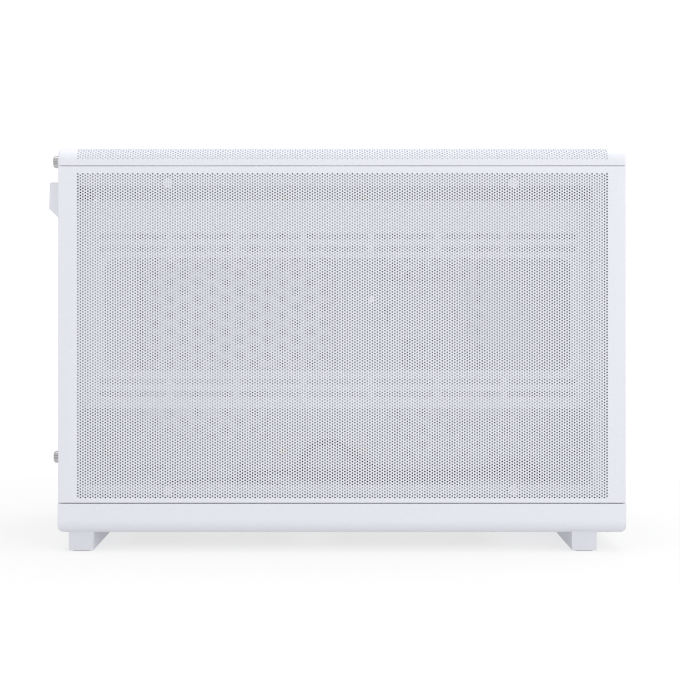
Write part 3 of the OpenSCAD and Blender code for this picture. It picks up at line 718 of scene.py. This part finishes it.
def header_plug(name, node, pins_wide):
    """A header connector: a bevelled shell, a key rib block that lies inside it, and a row of contact
    strips along its top.
    """
    lo, hi = (Vector(c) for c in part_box(node))
    mid = (lo + hi) / 2
    size = hi - lo
    bm = bmesh.new()
    for scale in ((1, 1, 1), KEY_RIB):
        made = bmesh.ops.create_cube(bm, size=1)
        for v in made["verts"]:
            v.co = Vector([c * side * k for c, side, k in zip(v.co, size, scale)]) + mid
        if scale[0] == 1:
            edges = list({e for v in made["verts"] for e in v.link_edges})
            bmesh.ops.bevel(bm, geom=edges, offset=0.5 * MM, segments=2, affect="EDGES")
    for k in range(pins_wide):
        made = bmesh.ops.create_cube(bm, size=1)
        x = lo.x + size.x * (k + 0.7) / (pins_wide + 0.4)
        for v in made["verts"]:
            v.co = Vector((
                x + v.co.x * CONTACT_W,
                mid.y + v.co.y * size.y * CONTACT_REACH,
                hi.z - 0.1 * MM + v.co.z * 0.3 * MM,
            ))
    mesh = bpy.data.meshes.new(name)
    bm.to_mesh(mesh)
    bm.free()
    mesh.materials.append(black_plastic)
    obj = bpy.data.objects.new(name, mesh)
    scene.collection.objects.link(obj)
    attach(obj, "chassis")
    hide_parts(node)
    return obj


usb_plug = header_plug("usb_header_plug", "usb_connector", 8)
type_c_plug = header_plug("type_c_header_plug", "type_c_connector", 5)
audio_plug = header_plug("audio_header_plug", "audio_connector", 5)
cable("usb_lead", "usb_cable", USB_ROUTE, 6.6 * MM)
cable("type_c_lead", "type_c_cable", TYPE_C_ROUTE, 5.4 * MM)
cable("audio_lead", "audio_cable", AUDIO_ROUTE, 4.2 * MM)

# ---------------------------------------------------------------- floor and light

# The surround's level, how much it grows toward the front end and falls behind the object. The
# last two change the light on the object only: the camera sees an even white.
SKY_LEVEL = 1.03
SKY_LEAN = 0.16
SKY_BACK = 0.4
# The dark flag as slopes from the axis of the photo's camera, with its soft edge and how dark it
# is. It stays there in every view.
FLAG_ACROSS = (-0.166, 0.171)
FLAG_UP = (-0.137, 0.072)
FLAG_EDGE = 0.006
FLAG_DEPTH = 0.93
# The floor's own light, on the object and as the camera sees it
FLOOR_BOUNCE = 0.5
FLOOR_SEEN = 0.66
FLOOR_BACK = 0.32
FLOOR_REACH = 4.0

floor_mat = bpy.data.materials.new("studio_floor")
floor_mat.use_nodes = True
floor_shader = floor_mat.node_tree.nodes["Principled BSDF"]
floor_shader.inputs["Base Color"].default_value = (0.3, 0.3, 0.297, 1)
floor_shader.inputs["Roughness"].default_value = 1.0
floor_shader.inputs["Specular IOR Level"].default_value = 0.0
floor_shader.inputs["Emission Color"].default_value = (1, 1, 1, 1)
ray = floor_mat.node_tree.nodes.new("ShaderNodeLightPath")
glow = floor_mat.node_tree.nodes.new("ShaderNodeMapRange")
glow.inputs["To Min"].default_value = FLOOR_BOUNCE
glow.inputs["To Max"].default_value = FLOOR_SEEN
floor_mat.node_tree.links.new(ray.outputs["Is Camera Ray"], glow.inputs["Value"])
floor_mat.node_tree.links.new(glow.outputs["Result"], floor_shader.inputs["Emission Strength"])
mesh = bpy.data.meshes.new("studio_floor")
floor_corners = [(x, y, 0) for x, y in (
    (-FLOOR_REACH, -FLOOR_REACH), (FLOOR_REACH, -FLOOR_REACH),
    (FLOOR_REACH, FLOOR_BACK), (-FLOOR_REACH, FLOOR_BACK),
)]
mesh.from_pydata(floor_corners, [], [(0, 1, 2, 3)])
mesh.materials.append(floor_mat)
floor = bpy.data.objects.new("studio_floor", mesh)
scene.collection.objects.link(floor)

world = bpy.data.worlds.new("studio")
world.use_nodes = True
sky = world.node_tree


def maths(operation, a, b=None, clamp=False):
    node = sky.nodes.new("ShaderNodeMath")
    node.operation = operation
    node.use_clamp = clamp
    for socket, value in zip(node.inputs, (a, b)):
        if value is None:
            continue
        if isinstance(value, (int, float)):
            socket.default_value = value
        else:
            sky.links.new(value, socket)
    return node.outputs["Value"]


def inside(value, low, high, edge):
    """1 where value lies between low and high, falling to 0 over edge."""
    up = maths("DIVIDE", maths("SUBTRACT", value, low), edge, clamp=True)
    down = maths("DIVIDE", maths("SUBTRACT", high, value), edge, clamp=True)
    return maths("MULTIPLY", up, down)


# A white surround that lights the object a little more from the front end and less from behind,
# with a dark flag far behind the object. In the photo's view the object's outline hides the flag
# but for the perforations. In other views near the front it shows as a dark rectangle.
look = sky.nodes.new("ShaderNodeSeparateXYZ")
where = sky.nodes.new("ShaderNodeTexCoord")
sky.links.new(where.outputs["Generated"], look.inputs[0])
ahead = maths("MAXIMUM", look.outputs["Y"], 0.001)
across = inside(maths("DIVIDE", look.outputs["X"], ahead), *FLAG_ACROSS, FLAG_EDGE)
upward = inside(maths("DIVIDE", look.outputs["Z"], ahead), *FLAG_UP, FLAG_EDGE)
flag = maths("MULTIPLY", maths("MULTIPLY", across, upward), FLAG_DEPTH)
lean = maths("MULTIPLY", look.outputs["X"], SKY_LEAN)
behind = maths("MULTIPLY", maths("MAXIMUM", look.outputs["Y"], 0.0), SKY_BACK)
unseen = maths("SUBTRACT", 1.0, sky.nodes.new("ShaderNodeLightPath").outputs["Is Camera Ray"])
uneven = maths("MULTIPLY", maths("SUBTRACT", lean, behind), unseen)
level = maths("MULTIPLY", maths("ADD", uneven, SKY_LEVEL), maths("SUBTRACT", 1.0, flag))
sky.links.new(level, sky.nodes["Background"].inputs["Strength"])
sky.nodes["Background"].inputs["Color"].default_value = (1, 1, 1, 1)
scene.world = world
scene.view_settings.view_transform = "Standard"
scene.cycles.use_denoising = True
scene.cycles.denoising_prefilter = "NONE"
scene.cycles.filter_width = 1.2


def area_light(name, place, target, size, power):
    lamp = bpy.data.lights.new(name, "AREA")
    lamp.shape = "SQUARE"
    lamp.size = size
    lamp.energy = power
    obj = bpy.data.objects.new(name, lamp)
    obj.location = place
    obj.rotation_euler = (Vector(target) - Vector(place)).to_track_quat("-Z", "Y").to_euler()
    scene.collection.objects.link(obj)
    return obj


centre = (0, 0, 0.16)
area_light("overhead", (0.1, 0.2, 2.2), centre, 1.6, 12)
area_light("key", (1.3, -1.6, 0.9), centre, 1.0, 6)

# Light that has come in through the near mesh, given as two sheets that face the tray
FILL_X = 0.005
FILL_Z = 0.17
FILL_WIDTH = 0.41
FILL_HEIGHT = 0.25
for name, depth, power in (("behind_mesh", 0.004, 0.125), ("behind_bracket", 0.021, 0.074)):
    place = (FILL_X, near_face + depth, FILL_Z)
    fill = area_light(name, place, (FILL_X, 1, FILL_Z), FILL_WIDTH, power)
    fill.data.shape = "RECTANGLE"
    fill.data.size_y = FILL_HEIGHT
    fill.visible_camera = False
